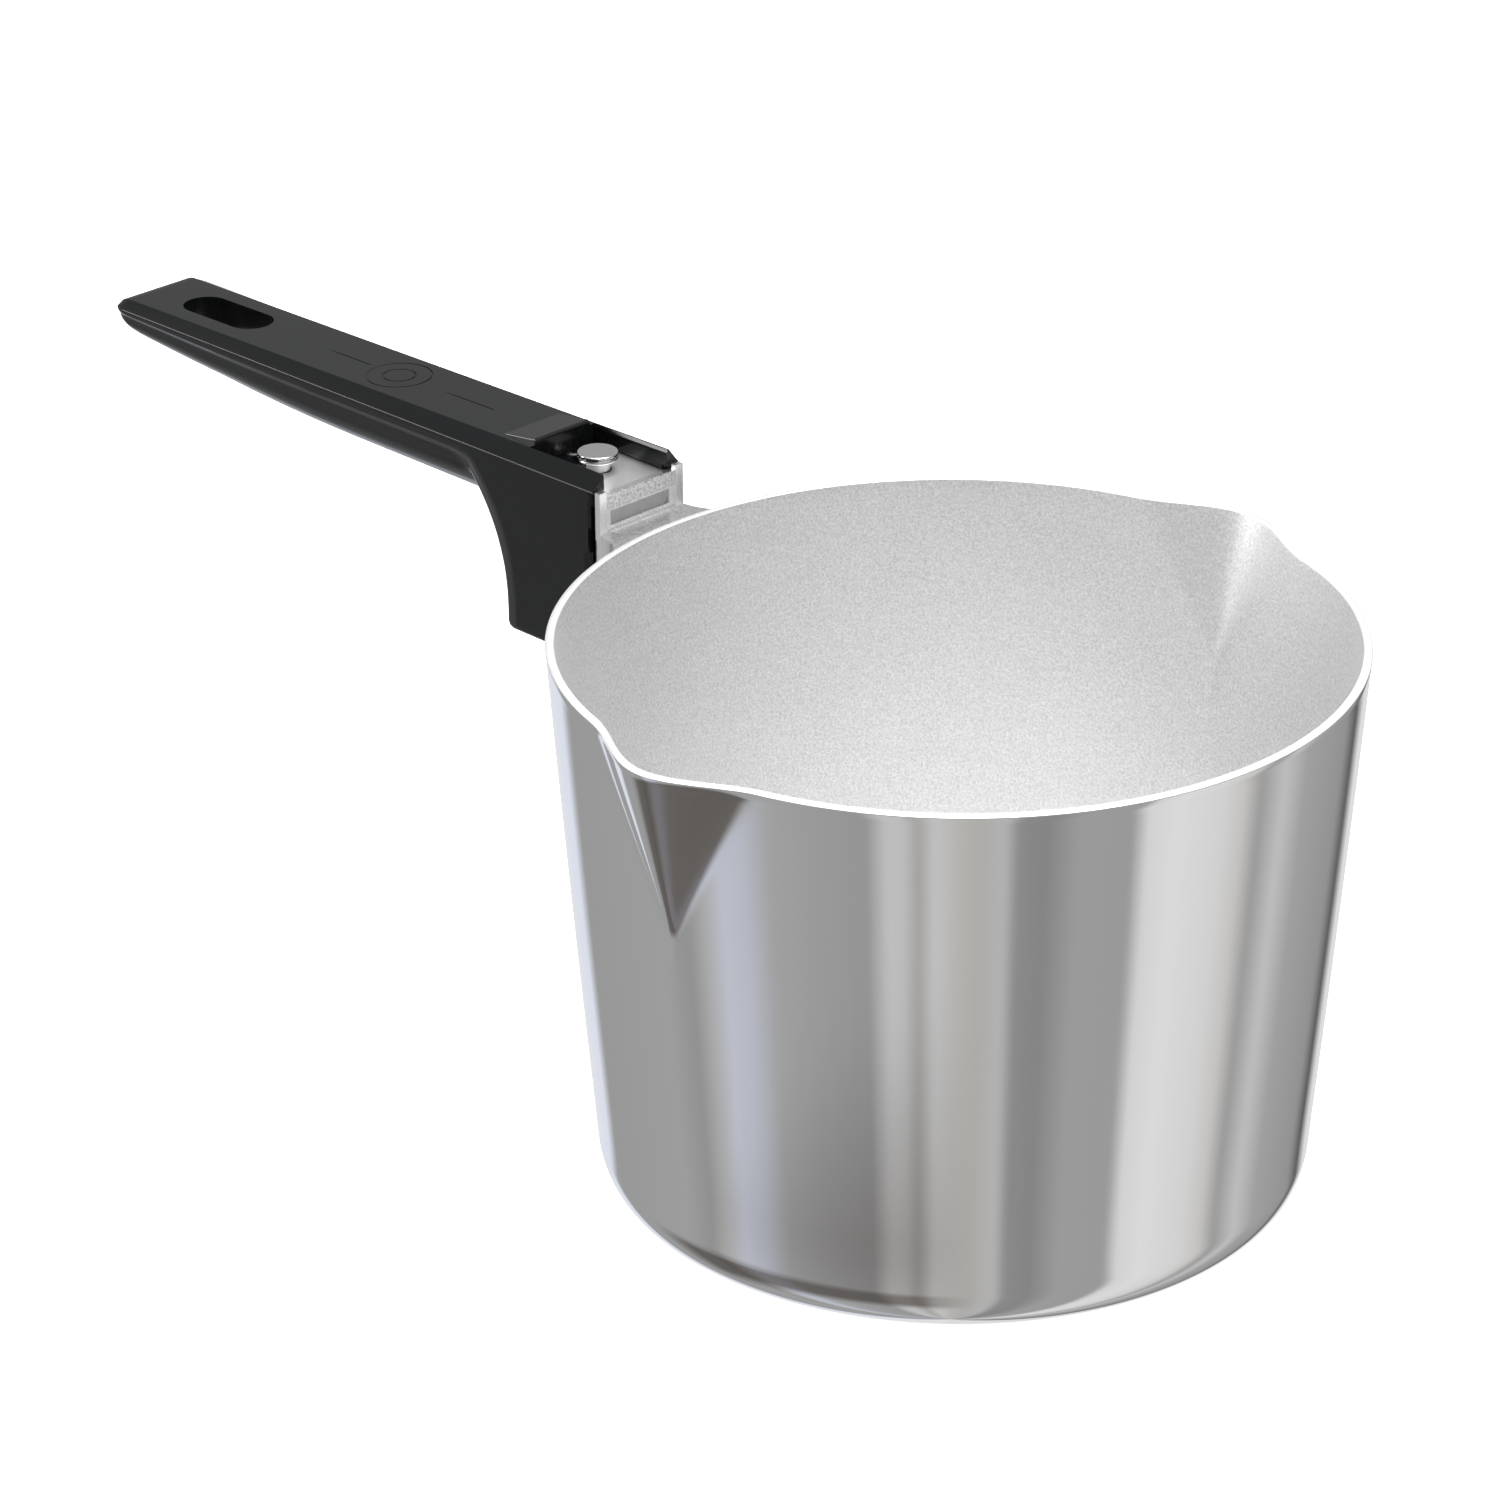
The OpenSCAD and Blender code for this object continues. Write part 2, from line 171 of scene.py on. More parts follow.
sky.links.new(glow.outputs[0], add_node(sky.nodes, "ShaderNodeOutputWorld").inputs["Surface"])

overhead_size, overhead_watts = 0.9, 24
overhead_place = (0.08, 0.14, 1.3)
overhead_data = bpy.data.lights.new("overhead", "AREA")
overhead_data.shape = "SQUARE"
overhead_data.size = overhead_size
overhead_data.energy = overhead_watts
overhead_light = bpy.data.objects.new("overhead", overhead_data)
overhead_light.location = overhead_place
scene.collection.objects.link(overhead_light)

# ---------------------------------------------------------------- table
# A plain white laminate top on which the pot stands, lit so evenly that no
# edge or shadow shows on it.
table_half = 4
table_mesh = bmesh.new()
bmesh.ops.create_grid(table_mesh, x_segments=2, y_segments=2, size=table_half)
table_data = bpy.data.meshes.new("table")
table_mesh.to_mesh(table_data)
table_mesh.free()
table = bpy.data.objects.new("table", table_data)
scene.collection.objects.link(table)
table.visible_glossy = False
table.visible_shadow = False
white_top = bpy.data.materials.new("white_top")
white_top.use_nodes = True
top_shader = white_top.node_tree.nodes["Principled BSDF"]
top_shader.inputs["Base Color"].default_value = (0.9, 0.9, 0.9, 1)
top_shader.inputs["Roughness"].default_value = 0.8
top_shader.inputs["Emission Color"].default_value = (1, 1, 1, 1)
top_shader.inputs["Emission Strength"].default_value = 0.75
table_data.materials.append(white_top)

# ---------------------------------------------------------------- pot casting
# The bowl, cast in aluminium in one piece with its two spouts. The outside is
# polished to a mirror, the inside is blasted and the rim's land is turned bright.
rim_low, rim_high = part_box("pot_body")
rim_z = 114.5                          # height of the rim, in millimetres
rim_r = rim_high.x / MM                # outside radius at the rim
corner_in, corner_up = 5.4, 9.6        # rounded bottom corner
land_w = 1.8                           # width of the rim's land, which falls a little outwards
land_fall = 0.22
floor_z, floor_r = 5.0, 9.0            # top of the floor and its inside radius
taper, belly = 0.073, 0.0067           # how the wall draws in on its way down
thicker = 1.3                          # what the wall gains in thickness down to the floor
spout_out, spout_half = 6.3, 23.3      # a spout's reach and half its width on the rim
spout_deep, spout_deep_inside = 38.5, 31.5
recess, recess_in = 0.5, 9.0           # turned recess in the base, drawn in from the foot
edge_r = 0.3                           # rounding of the land's inner edge
turns = 400                            # steps round the pot


def wall_radius(z):
    """Outside radius of the wall at height z."""
    down = (rim_z - z) / rim_r
    return rim_r * (1 - taper * down - belly * down * down)


def wall_thickness(z):
    """Thickness of the wall at height z: thin at the rim and thicker at the floor."""
    return land_w + thicker * (rim_z - z) / (rim_z - floor_z)


def arc_points(cx, cz, rx, rz, start, end, steps):
    """Points of an elliptical arc in the profile's plane, angles in degrees."""
    angles = [math.radians(start + (end - start) * i / steps) for i in range(steps + 1)]
    return [(cx + rx * math.cos(a), cz + rz * math.sin(a)) for a in angles]


def spread(first, last, steps):
    """Evenly spread heights from first to last, both left out."""
    return [first + (last - first) * i / steps for i in range(1, steps)]


def finished_piece(name, mesh, sharp=30, level=False):
    """An object at the origin from a mesh in millimetres.

    It is smooth up to sharp degrees, and level keeps its big faces flat in the light.
    """
    bmesh.ops.scale(mesh, vec=(MM, MM, MM), verts=mesh.verts)
    data = bpy.data.meshes.new(name)
    mesh.to_mesh(data)
    mesh.free()
    for face in data.polygons:
        face.use_smooth = True
    data.set_sharp_from_angle(angle=math.radians(sharp))
    piece = bpy.data.objects.new(name, data)
    scene.collection.objects.link(piece)
    if level:
        piece.modifiers.new("level", "WEIGHTED_NORMAL").keep_sharp = True
    return piece


def spun(profile, steps):
    """A bmesh turned about the Z axis from (radius, height) points that start and end on it."""
    mesh = bmesh.new()
    ring = [mesh.verts.new((r, 0, z)) for r, z in profile]
    for first, second in zip(ring, ring[1:]):
        mesh.edges.new((first, second))
    bmesh.ops.spin(mesh, geom=mesh.verts[:] + mesh.edges[:], axis=(0, 0, 1), cent=(0, 0, 0),
                   angle=2 * math.pi, steps=steps, use_merge=True)
    bmesh.ops.remove_doubles(mesh, verts=mesh.verts, dist=0.0005)
    bmesh.ops.recalc_face_normals(mesh, faces=mesh.faces)
    return mesh


foot_r = wall_radius(corner_up) - corner_in
bowl_corner = floor_z + floor_r        # where the inside wall turns into the floor
inner_foot = wall_radius(bowl_corner) - wall_thickness(bowl_corner)
bore_r = rim_r - land_w
land_low = rim_z - land_fall
spout_foot, spout_foot_inside = rim_z - spout_deep - 1, rim_z - spout_deep_inside
outside_heights = (spread(corner_up, spout_foot, 12)
                   + spread(spout_foot, land_low - edge_r, 30))
inside_heights = (spread(rim_z - edge_r, spout_foot_inside, 26)
                  + spread(spout_foot_inside, bowl_corner, 8))
pot_profile = (
    [(0, recess), (foot_r - recess_in, recess), (foot_r - recess_in + 0.4, 0.7 * recess),
     (foot_r - recess_in + 0.7, 0)]
    + arc_points(foot_r, corner_up, corner_in, corner_up, -90, -4, 12)
    + [(wall_radius(z), z) for z in outside_heights]
    + [(rim_r, land_low - edge_r), (rim_r - 0.05, land_low - 0.12), (rim_r - 0.2, land_low),
       (bore_r + edge_r, rim_z), (bore_r + 0.12, rim_z - 0.04), (bore_r + 0.03, rim_z - 0.14),
       (bore_r, rim_z - edge_r)]
    + [(wall_radius(z) - wall_thickness(z), z) for z in inside_heights]
    + arc_points(inner_foot - floor_r, bowl_corner, floor_r, floor_r, 0, -90, 10)
    + [(0, floor_z)])
pot_mesh = spun(pot_profile, turns)
for vert in pot_mesh.verts:
    radius = math.hypot(vert.co.x, vert.co.y)
    down = rim_z - vert.co.z
    inside = radius < wall_radius(vert.co.z) - wall_thickness(vert.co.z) / 2
    depth = spout_deep_inside if inside else spout_deep
    if down < depth and radius > 0.5 * rim_r:
        left = 1 - down / depth
        off_axis = radius * math.atan2(abs(vert.co.x), abs(vert.co.y))
        across = off_axis / (spout_half * left + 0.001)
        if across < 1:
            push = spout_out * left * math.cos(0.5 * math.pi * across ** 0.93) ** 2
            vert.co.x *= 1 + push / radius
            vert.co.y *= 1 + push / radius
pot = finished_piece("pot_casting", pot_mesh, sharp=38)


def new_material(name):
    """A node material and its Principled shader."""
    material = bpy.data.materials.new(name)
    material.use_nodes = True
    return material, material.node_tree, material.node_tree.nodes["Principled BSDF"]


def shader_group(name, inputs, outputs):
    """An empty shader node group with float inputs (name, default) and float or colour outputs."""
    group = bpy.data.node_groups.new(name, "ShaderNodeTree")
    for label, default in inputs:
        socket = group.interface.new_socket(label, in_out="INPUT", socket_type="NodeSocketFloat")
        socket.default_value = default
    for label, kind in outputs:
        group.interface.new_socket(label, in_out="OUTPUT", socket_type=kind)
    return group, add_node(group.nodes, "NodeGroupInput"), add_node(group.nodes, "NodeGroupOutput")


# Grain of a blasted or sand-cast skin: fine specks over slow, faint clouds.
grain, grain_in, grain_out = shader_group(
    "casting_grain", [("Grains per metre", 1800.0), ("Low", 0.4), ("High", 0.6)],
    [("Specks", "NodeSocketFloat"), ("Clouds", "NodeSocketFloat"), ("Tone", "NodeSocketFloat")])
grain_place = add_node(grain.nodes, "ShaderNodeTexCoord").outputs["Object"]
specks = add_node(grain.nodes, "ShaderNodeTexNoise")
specks.inputs["Detail"].default_value = 3
specks.inputs["Roughness"].default_value = 0.65
grain.links.new(grain_place, specks.inputs["Vector"])
grain.links.new(grain_in.outputs["Grains per metre"], specks.inputs["Scale"])
clouds = add_node(grain.nodes, "ShaderNodeTexNoise")
clouds.inputs["Scale"].default_value = 45
clouds.inputs["Detail"].default_value = 4
grain.links.new(grain_place, clouds.inputs["Vector"])
tone = add_node(grain.nodes, "ShaderNodeMapRange")
tone.inputs["From Min"].default_value = 0.3
tone.inputs["From Max"].default_value = 0.7
grain.links.new(specks.outputs["Fac"], tone.inputs["Value"])
grain.links.new(grain_in.outputs["Low"], tone.inputs["To Min"])
grain.links.new(grain_in.outputs["High"], tone.inputs["To Max"])
grain.links.new(specks.outputs["Fac"], grain_out.inputs["Specks"])
grain.links.new(clouds.outputs["Fac"], grain_out.inputs["Clouds"])
grain.links.new(tone.outputs[0], grain_out.inputs["Tone"])


def blasted_aluminium(name, grains, dark, bright, roughness, depth):
    """Aluminium with a blasted skin: specks in its tone and a bump of the same grain."""
    material, tree, shader = new_material(name)
    skin = add_node(tree.nodes, "ShaderNodeGroup", node_tree=grain)
    skin.inputs["Grains per metre"].default_value = grains
    skin.inputs["Low"].default_value = dark
    skin.inputs["High"].default_value = bright
    colour = add_node(tree.nodes, "ShaderNodeCombineColor")
    for channel in colour.inputs:
        tree.links.new(skin.outputs["Tone"], channel)
    tree.links.new(colour.outputs[0], shader.inputs["Base Color"])
    shader.inputs["Metallic"].default_value = 1.0
    rough = add_node(tree.nodes, "ShaderNodeMapRange")
    rough.inputs["To Min"].default_value = roughness - 0.06
    rough.inputs["To Max"].default_value = roughness + 0.06
    tree.links.new(skin.outputs["Clouds"], rough.inputs["Value"])
    tree.links.new(rough.outputs[0], shader.inputs["Roughness"])
    bump = add_node(tree.nodes, "ShaderNodeBump")
    bump.inputs["Strength"].default_value = 0.35
    bump.inputs["Distance"].default_value = depth
    tree.links.new(skin.outputs["Specks"], bump.inputs["Height"])
    tree.links.new(bump.outputs["Normal"], shader.inputs["Normal"])
    return material


# Marks of the polishing mop: faint upright streaks that run down the wall.
mop, mop_in, mop_out = shader_group(
    "mop_marks", [("Lowest", 0.04), ("Highest", 0.1)],
    [("Roughness", "NodeSocketFloat"), ("Streaks", "NodeSocketFloat")])
mop_map = add_node(mop.nodes, "ShaderNodeMapping")
mop_map.inputs["Scale"].default_value = (1, 1, 0.04)
mop.links.new(add_node(mop.nodes, "ShaderNodeTexCoord").outputs["Object"], mop_map.inputs["Vector"])
streaks = add_node(mop.nodes, "ShaderNodeTexNoise")
streaks.inputs["Scale"].default_value = 420
streaks.inputs["Detail"].default_value = 4
mop.links.new(mop_map.outputs[0], streaks.inputs["Vector"])
mop_range = add_node(mop.nodes, "ShaderNodeMapRange")
mop_range.inputs["From Min"].default_value = 0.3
mop_range.inputs["From Max"].default_value = 0.7
mop.links.new(streaks.outputs["Fac"], mop_range.inputs["Value"])
mop.links.new(mop_in.outputs["Lowest"], mop_range.inputs["To Min"])
mop.links.new(mop_in.outputs["Highest"], mop_range.inputs["To Max"])
mop.links.new(mop_range.outputs[0], mop_out.inputs["Roughness"])
mop.links.new(streaks.outputs["Fac"], mop_out.inputs["Streaks"])


def polished_metal(name, colour, lowest, highest, depth):
    """Polished metal with the mop's faint streaks in its gloss."""
    material, tree, shader = new_material(name)
    marks = add_node(tree.nodes, "ShaderNodeGroup", node_tree=mop)
    marks.inputs["Lowest"].default_value = lowest
    marks.inputs["Highest"].default_value = highest
    shader.inputs["Base Color"].default_value = (*colour, 1)
    shader.inputs["Metallic"].default_value = 1.0
    tree.links.new(marks.outputs["Roughness"], shader.inputs["Roughness"])
    bump = add_node(tree.nodes, "ShaderNodeBump")
    bump.inputs["Strength"].default_value = 0.1
    bump.inputs["Distance"].default_value = depth
    tree.links.new(marks.outputs["Streaks"], bump.inputs["Height"])
    tree.links.new(bump.outputs["Normal"], shader.inputs["Normal"])
    return material


mirror_wall = polished_metal("polished_aluminium", (0.93, 0.93, 0.935), 0.045, 0.09, 0.00003)
blasted_bowl = blasted_aluminium("blasted_bowl", 2100, 0.68, 1.0, 0.5, 0.0003)
turned_land = blasted_aluminium("turned_land", 900, 0.95, 1.0, 0.55, 0.00002)
turned_base = blasted_aluminium("turned_base", 700, 0.7, 0.85, 0.35, 0.00005)
for surface in (mirror_wall, blasted_bowl, turned_land, turned_base):
    pot.data.materials.append(surface)
BOWL, LAND, BASE = 1, 2, 3             # places in the pot's list of materials; 0 is the wall
for face in pot.data.polygons:
    middle = face.center / MM
    radius = math.hypot(middle.x, middle.y)
    inward = face.normal.x * middle.x + face.normal.y * middle.y < 0
    if middle.z > rim_z - 0.4:
        face.material_index = LAND
    elif middle.z < 1 and radius < foot_r:
        face.material_index = BASE
    elif inward or face.normal.z > 0.9:
        face.material_index = BOWL
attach(pot, "pot")
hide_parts("pot_body")

# ---------------------------------------------------------------- handle lug
# Cast in one with the wall: a ledge under the rim, an upright web between two side
# walls, a heel below, and a flat tongue, notched for the button, that the handle
# slides over.
rear_x, root_x = -91.2, -74.0          # rear face, and where it runs into the wall
lug_half = 11.7
ledge_z, lug_low = rim_z - 2.3, rim_z - 28
tongue_top, tongue_t = rim_z + 5.0, 2.6
tongue_half, tongue_end = 10.2, rim_low.x / MM
web_top, web_x = rim_z + 5.4, rear_x + 1.8   # the web's top and its front face
band_low = rim_z + 2.2                       # lower edge of the blasted band along the web
side_top, side_x, side_in = rim_z + 6.6, rear_x + 2.5, 9.7
button_x, notch_r = -101.6, 2.9
heel_x, heel_half = -99.8, 5.0               # the heel that enters a socket in the handle
heel_low, heel_high = rim_z - 25, rim_z - 13
pocket_in, pocket_near, pocket_far = 1.1, -7.8, 8.6
tray_deep, tray_half = 0.6, 8.7              # shallow hollow in the ledge before the web
foot_below, slope_angle = 17, 45             # the lug's underside slopes back to the wall
flare_r, rear_r = 13, 2                      # the lug's fillets into the wall and its corners
lug_edge = 0.18                              # rounding of its edges


def prism(outline, low, high):
    """A bmesh block that stands on a closed outline of (x, y) points between two heights."""
    mesh = bmesh.new()
    face = mesh.faces.new([mesh.verts.new((x, y, low)) for x, y in outline])
    top = bmesh.ops.extrude_face_region(mesh, geom=[face])["geom"]
    bmesh.ops.translate(mesh, vec=(0, 0, high - low),
                        verts=[v for v in top if isinstance(v, bmesh.types.BMVert)])
    bmesh.ops.recalc_face_normals(mesh, faces=mesh.faces)
    return mesh


def box_mesh(low, high):
    """A bmesh block between two corners."""
    return prism([(low[0], low[1]), (high[0], low[1]), (high[0], high[1]), (low[0], high[1])],
                 low[2], high[2])


def rounded(mesh, width, angle=30):
    """Rounds the edges of a bmesh that are sharper than angle degrees."""
    bmesh.ops.dissolve_limit(mesh, angle_limit=math.radians(0.4), verts=mesh.verts,
                             edges=mesh.edges)
    sharp = [e for e in mesh.edges
             if len(e.link_faces) == 2 and e.calc_face_angle() > math.radians(angle)]
    bmesh.ops.bevel(mesh, geom=sharp, offset=width, offset_type="OFFSET", affect="EDGES",
                    segments=2, profile=0.5, material=-1, clamp_overlap=True)
    return mesh


def cut(block, tool, operation="DIFFERENCE"):
    """One bmesh with another cut out of it, or joined on with UNION. Both are used up."""
    pair = []
    for mesh in (block, tool):
        bmesh.ops.triangulate(mesh, faces=[f for f in mesh.faces if len(f.verts) > 4])
        data = bpy.data.meshes.new("blank")
        mesh.to_mesh(data)
        mesh.free()
        pair.append(bpy.data.objects.new("blank", data))
        scene.collection.objects.link(pair[-1])
    step = pair[0].modifiers.new("cut", "BOOLEAN")
    step.operation = operation
    step.solver = "EXACT"
    step.object = pair[1]
    result = bmesh.new()
    result.from_object(pair[0], bpy.context.evaluated_depsgraph_get())
    for blank in pair:
        data = blank.data
        bpy.data.objects.remove(blank)
        bpy.data.meshes.remove(data)
    bmesh.ops.remove_doubles(result, verts=result.verts, dist=0.002)
    bmesh.ops.dissolve_degenerate(result, edges=result.edges, dist=0.001)
    return result


def fillet_side(sign, radius, corner):
    """Half of the lug's plan: a rounded rear corner, then a hollow fillet into the wall."""
    cy = lug_half + radius
    cx = -math.sqrt((rim_r + radius) ** 2 - cy ** 2)
    end = math.degrees(math.atan2(-cy, -cx))
    rear = arc_points(rear_x + corner, lug_half - corner, corner, corner, 180, 90, 6)
    flare = arc_points(cx, cy, radius, radius, -90, end, 14)
    return [(x, sign * y) for x, y in rear + flare + [(root_x, flare[-1][1] - 4)]]


lug_outline = fillet_side(1, flare_r, rear_r) + fillet_side(-1, flare_r, rear_r)[::-1]
lug_mesh = prism(lug_outline, lug_low - foot_below, ledge_z)
slope = box_mesh((-140, -60, -60), (0, 60, 0))
bmesh.ops.rotate(slope, cent=(0, 0, 0), verts=slope.verts,
                 matrix=Matrix.Rotation(math.radians(slope_angle), 3, "Y"))
bmesh.ops.translate(slope, vec=(rear_x, 0, lug_low), verts=slope.verts)
lug_mesh = cut(lug_mesh, slope)
bore_low, bore_high = 60, 130
bore_radii = [wall_radius(z) - wall_thickness(z) / 2 for z in (bore_low, bore_high)]
bore_profile = [(0, bore_low), (bore_radii[0], bore_low), (bore_radii[1], bore_high),
                (0, bore_high)]
lug_mesh = cut(lug_mesh, spun(bore_profile, 200))
web = box_mesh((rear_x + 0.05, -side_in - 0.6, ledge_z - 1),
               (web_x - 0.25, side_in + 0.6, web_top - 0.3))
lug_mesh = cut(lug_mesh, web, "UNION")
band = box_mesh((rear_x + 0.15, -side_in - 0.5, band_low), (web_x, side_in + 0.5, web_top))
lug_mesh = cut(lug_mesh, band, "UNION")
for sign in (-1, 1):
    across = sorted((sign * side_in, sign * (lug_half - 0.02)))
    side_wall = box_mesh((rear_x + 1.15, across[0], ledge_z - 1.5), (side_x, across[1], side_top))
    lug_mesh = cut(lug_mesh, side_wall, "UNION")
notch = [(button_x + notch_r * math.cos(a), notch_r * math.sin(a))
         for a in [math.radians(90 - 12 * i) for i in range(16)]]
tongue_plan = ([(rear_x + 1, tongue_half), (tongue_end, tongue_half), (tongue_end, notch_r)] + notch
               + [(tongue_end, -notch_r), (tongue_end, -tongue_half), (rear_x + 1, -tongue_half)])
lug_mesh = cut(lug_mesh, prism(tongue_plan, tongue_top - tongue_t, tongue_top + 0.02), "UNION")
heel = box_mesh((heel_x, -heel_half, heel_low), (rear_x + 1, heel_half, heel_high))
lug_mesh = cut(lug_mesh, heel, "UNION")
pocket = box_mesh((web_x - pocket_in, pocket_near, ledge_z + 0.8),
                  (web_x + 4, pocket_far, rim_z + 1.6))
lug_mesh = cut(lug_mesh, pocket)
tray = box_mesh((web_x + 0.4, -tray_half, ledge_z - tray_deep),
                (web_x + 4.2, tray_half, ledge_z + 2))
lug_mesh = cut(lug_mesh, tray)
lug = finished_piece("handle_lug", rounded(lug_mesh, lug_edge), level=True)
cast_band = blasted_aluminium("blasted_band", 1700, 0.4, 1.0, 0.4, 0.0003)
brushed_lug = polished_metal("brushed_lug", (0.93, 0.93, 0.935), 0.25, 0.3, 0.000004)
# Painted shade: the pocket's back face gets a darker grey than the rest of the lug, standing in for
# the shade and dim reflection inside that pocket.
pocket_painted_shade = blasted_aluminium("pocket_painted_shade", 1500, 0.46, 0.52, 0.36, 0.00001)
satin_tongue = blasted_aluminium("satin_tongue", 1200, 0.76, 0.84, 0.4, 0.00002)
for surface in (brushed_lug, cast_band, satin_tongue, pocket_painted_shade):
    lug.data.materials.append(surface)
BAND, TONGUE, PAINTED_SHADE_POCKET = 1, 2, 3               # places in the lug's list of materials
for face in lug.data.polygons:
    middle = face.center / MM
    if face.normal.x > 0.9 and band_low < middle.z < web_top and abs(middle.x - web_x) < 0.1:
        face.material_index = BAND
    elif face.normal.z > 0.9 and middle.z > rim_z + 4 and middle.x < rear_x:
        face.material_index = TONGUE
    # The pocket's back face takes the darker grey of painted shade.
    elif face.normal.x > 0.9 and middle.z < band_low and middle.x < web_x - 1:
        face.material_index = PAINTED_SHADE_POCKET
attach(lug, "pot")
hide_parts("pot_body")

# ---------------------------------------------------------------- handle
# One black phenolic moulding: a flat-topped grip with hollow flutes and a full
# belly, and two deep cheeks that stand against the lug. It slides off the tongue.
front_x, tip_x = -92.0, -243.5
brow_x, brow_z = -90.4, rim_z + 6.3         # the window's walls reach over the lug above brow_z
top_front, top_back = rim_z + 9.9, rim_z + 6.6
grip_half, flat_half = 12.0, 9.35
part_front, part_back = rim_z + 6.5, rim_z + 5.2   # height of the parting ridge
belly_low, belly_x, belly_rise = rim_z - 7.5, -162.0, 6.6
cheek_low, cheek_x = rim_z - 32.0, -114.6
cheek_corner = 1.5                          # rounding of the cheeks' lower corners
window_x, window_half = -112.0, 8.8
moulding_edge = 0.22                        # rounding of the moulding's edges
fit_gap = 0.3                               # clearance round the tongue and the heel
jaw_z = tongue_top - tongue_t - fit_gap     # floor of the channel that holds the tongue
past_front = front_x + 3                    # where the cutters end, clear of the front
seat_deep, seat_front = 0.9, -106.6         # shallow seat for the leaf's tab
well_deep, well_half, well_back = 5.8, 4.3, -108.4    # room below the leaf for the button


def along(front, back, x):
    """A height that changes evenly from the front of the handle to its tip."""
    return front + (back - front) * (front_x - x) / (front_x - tip_x)


def top_height(x):
    """Height of the flat top, which falls a little towards the tip."""
    return along(top_front, top_back, x)


def cheek_edge(z):
    """Where the cheek's side face ends to the rear, at height z."""
    return cheek_x - 10.5 * max(0, (z - cheek_low) / 29.5) ** 2.6


def turned_down(x, length):
    """How far a rounding of one length has dropped at x, from 0 to 1 at the tip."""
    run = min(1.0, max(0.0, (tip_x + length - x) / length))
    return 1 - math.sqrt(1 - run * run)


def grip_ring(x):
    """Half of the grip's cross-section at x, from mid top down to mid belly."""
    top = top_height(x) - 1.3 * turned_down(x, 3.0)
    part = along(part_front, part_back, x) - 0.4 * turned_down(x, 3.0)
    half = grip_half - 2.4 * turned_down(x, 4.0)
    flat = min(flat_half, half - 1.0)
    out = max(0.0, (belly_x - x) / (belly_x - tip_x))
    low = belly_low + belly_rise * out ** 2.4 + 2.6 * turned_down(x, 7.0)
    deep = part - low
    scale = min(1.0, deep / 11)
    # The hollow flute and the belly: how far in, and at what share of the depth.
    flute = [(0.03, 0.05), (0.1, 0.10), (0.3, 0.15), (0.75, 0.20), (1.2, 0.255), (1.46, 0.31),
             (1.55, 0.37), (1.64, 0.43), (1.95, 0.51), (2.5, 0.60), (3.2, 0.69), (4.15, 0.78),
             (5.3, 0.86), (6.8, 0.93), (8.6, 0.98)]
    side = []
    for inset, share in flute:
        z = part - share * deep
        to_cheek = min(1, max(0, (x - cheek_edge(z) - 4.5) / 9 + 1)) ** 1.7
        side.append((half - inset * scale * (1 - to_cheek) - 0.02 * to_cheek, z))
    return ([(0, top), (flat - 0.3, top), (flat - 0.08, top - 0.05), (flat + 0.1, top - 0.2),
             (half - 0.2, part + 0.2), (half - 0.04, part + 0.13), (half + 0.04, part + 0.06),
             (half + 0.06, part - 0.02), (half + 0.03, part - 0.12), (half - 0.01, part - 0.18)]
            + side + [(0, low)])


def lofted(rings):
    """A closed bmesh through rings of points, each extruded from the last, with flat ends."""
    mesh = bmesh.new()
    verts = [mesh.verts.new(p) for p in rings[0]]
    loop = [mesh.edges.new((a, b)) for a, b in zip(verts, verts[1:] + verts[:1])]
    mesh.faces.new(verts)
    for ring in rings[1:]:
        made = bmesh.ops.extrude_edge_only(mesh, edges=loop)["geom"]
        loop = [g for g in made if isinstance(g, bmesh.types.BMEdge) and len(g.link_faces) == 1]
        moved = {}
        for old, place in zip(verts, ring):
            across = [e for e in old.link_edges if e.other_vert(old) not in verts
                      and e.other_vert(old) in made]
            moved[old] = across[0].other_vert(old)
            moved[old].co = place
        verts = [moved[old] for old in verts]
    mesh.faces.new(verts)
    bmesh.ops.recalc_face_normals(mesh, faces=mesh.faces)
    return mesh


def mirrored(half):
    """A whole ring from its half: the far side first, then the near side back up."""
    return half + [(-y, z) for y, z in half[-2:0:-1]]


stations = [brow_x, -97, -102, -107, -111] + [-114 - 1.5 * i for i in range(20)]
stations += [-146 - 6 * i for i in range(15)]
stations += [-234, -236.5, -238, -239.5, -240.5, -241.2, -241.8, -242.3, -242.7, -243.0,
             -243.25, -243.42, tip_x]
grip = lofted([[(x, y, z) for y, z in mirrored(grip_ring(x))] for x in stations])


def border(share):
    """The cheek's rear border: how much of its width is left at a share of its depth."""
    shape = [(0, 1), (0.05, 0.84), (0.15, 0.68), (0.3, 0.52), (0.42, 0.42), (0.5, 0.28),
             (0.62, 0.18), (0.78, 0.08), (1, 0)]
    for (deep, left), (deeper, less) in zip(shape, shape[1:]):
        if share <= deeper:
            return left + (less - left) * (share - deep) / (deeper - deep)
    return 0


def cheek_ring(y, inset):
    """Side outline of the cheeks at y, with its rear border, drawn in by inset round the rest."""
    bulge = 4.6 * (1 - (abs(y) / grip_half) ** 2.6)
    high = part_front - 0.4
    rear_high, rear_low = 118.5, cheek_low + cheek_corner
    steps = 24
    rear = []
    for i in range(steps + 1):
        down = i / steps
        z = rear_high + (rear_low - rear_high) * down
        wide = 3.0 + 4.5 * (1 - down) ** 2
        deep = 1.1 + 1.6 * (1 - down) ** 2
        edge = border((grip_half - abs(y)) / deep) * wide
        rear.append((cheek_edge(z) - 2.2 - bulge * (0.3 + 0.7 * down) + edge, z))
    foot_x, front = rear[-1][0], front_x - inset
    low, chamfer = cheek_low + inset, 0.3 * cheek_corner
    return [(front, high), (window_x, high)] + rear + [
        (foot_x + chamfer, low + chamfer), (foot_x + cheek_corner, low),
        (front - cheek_corner, low), (front - chamfer, low + chamfer),
        (front, low + cheek_corner)]


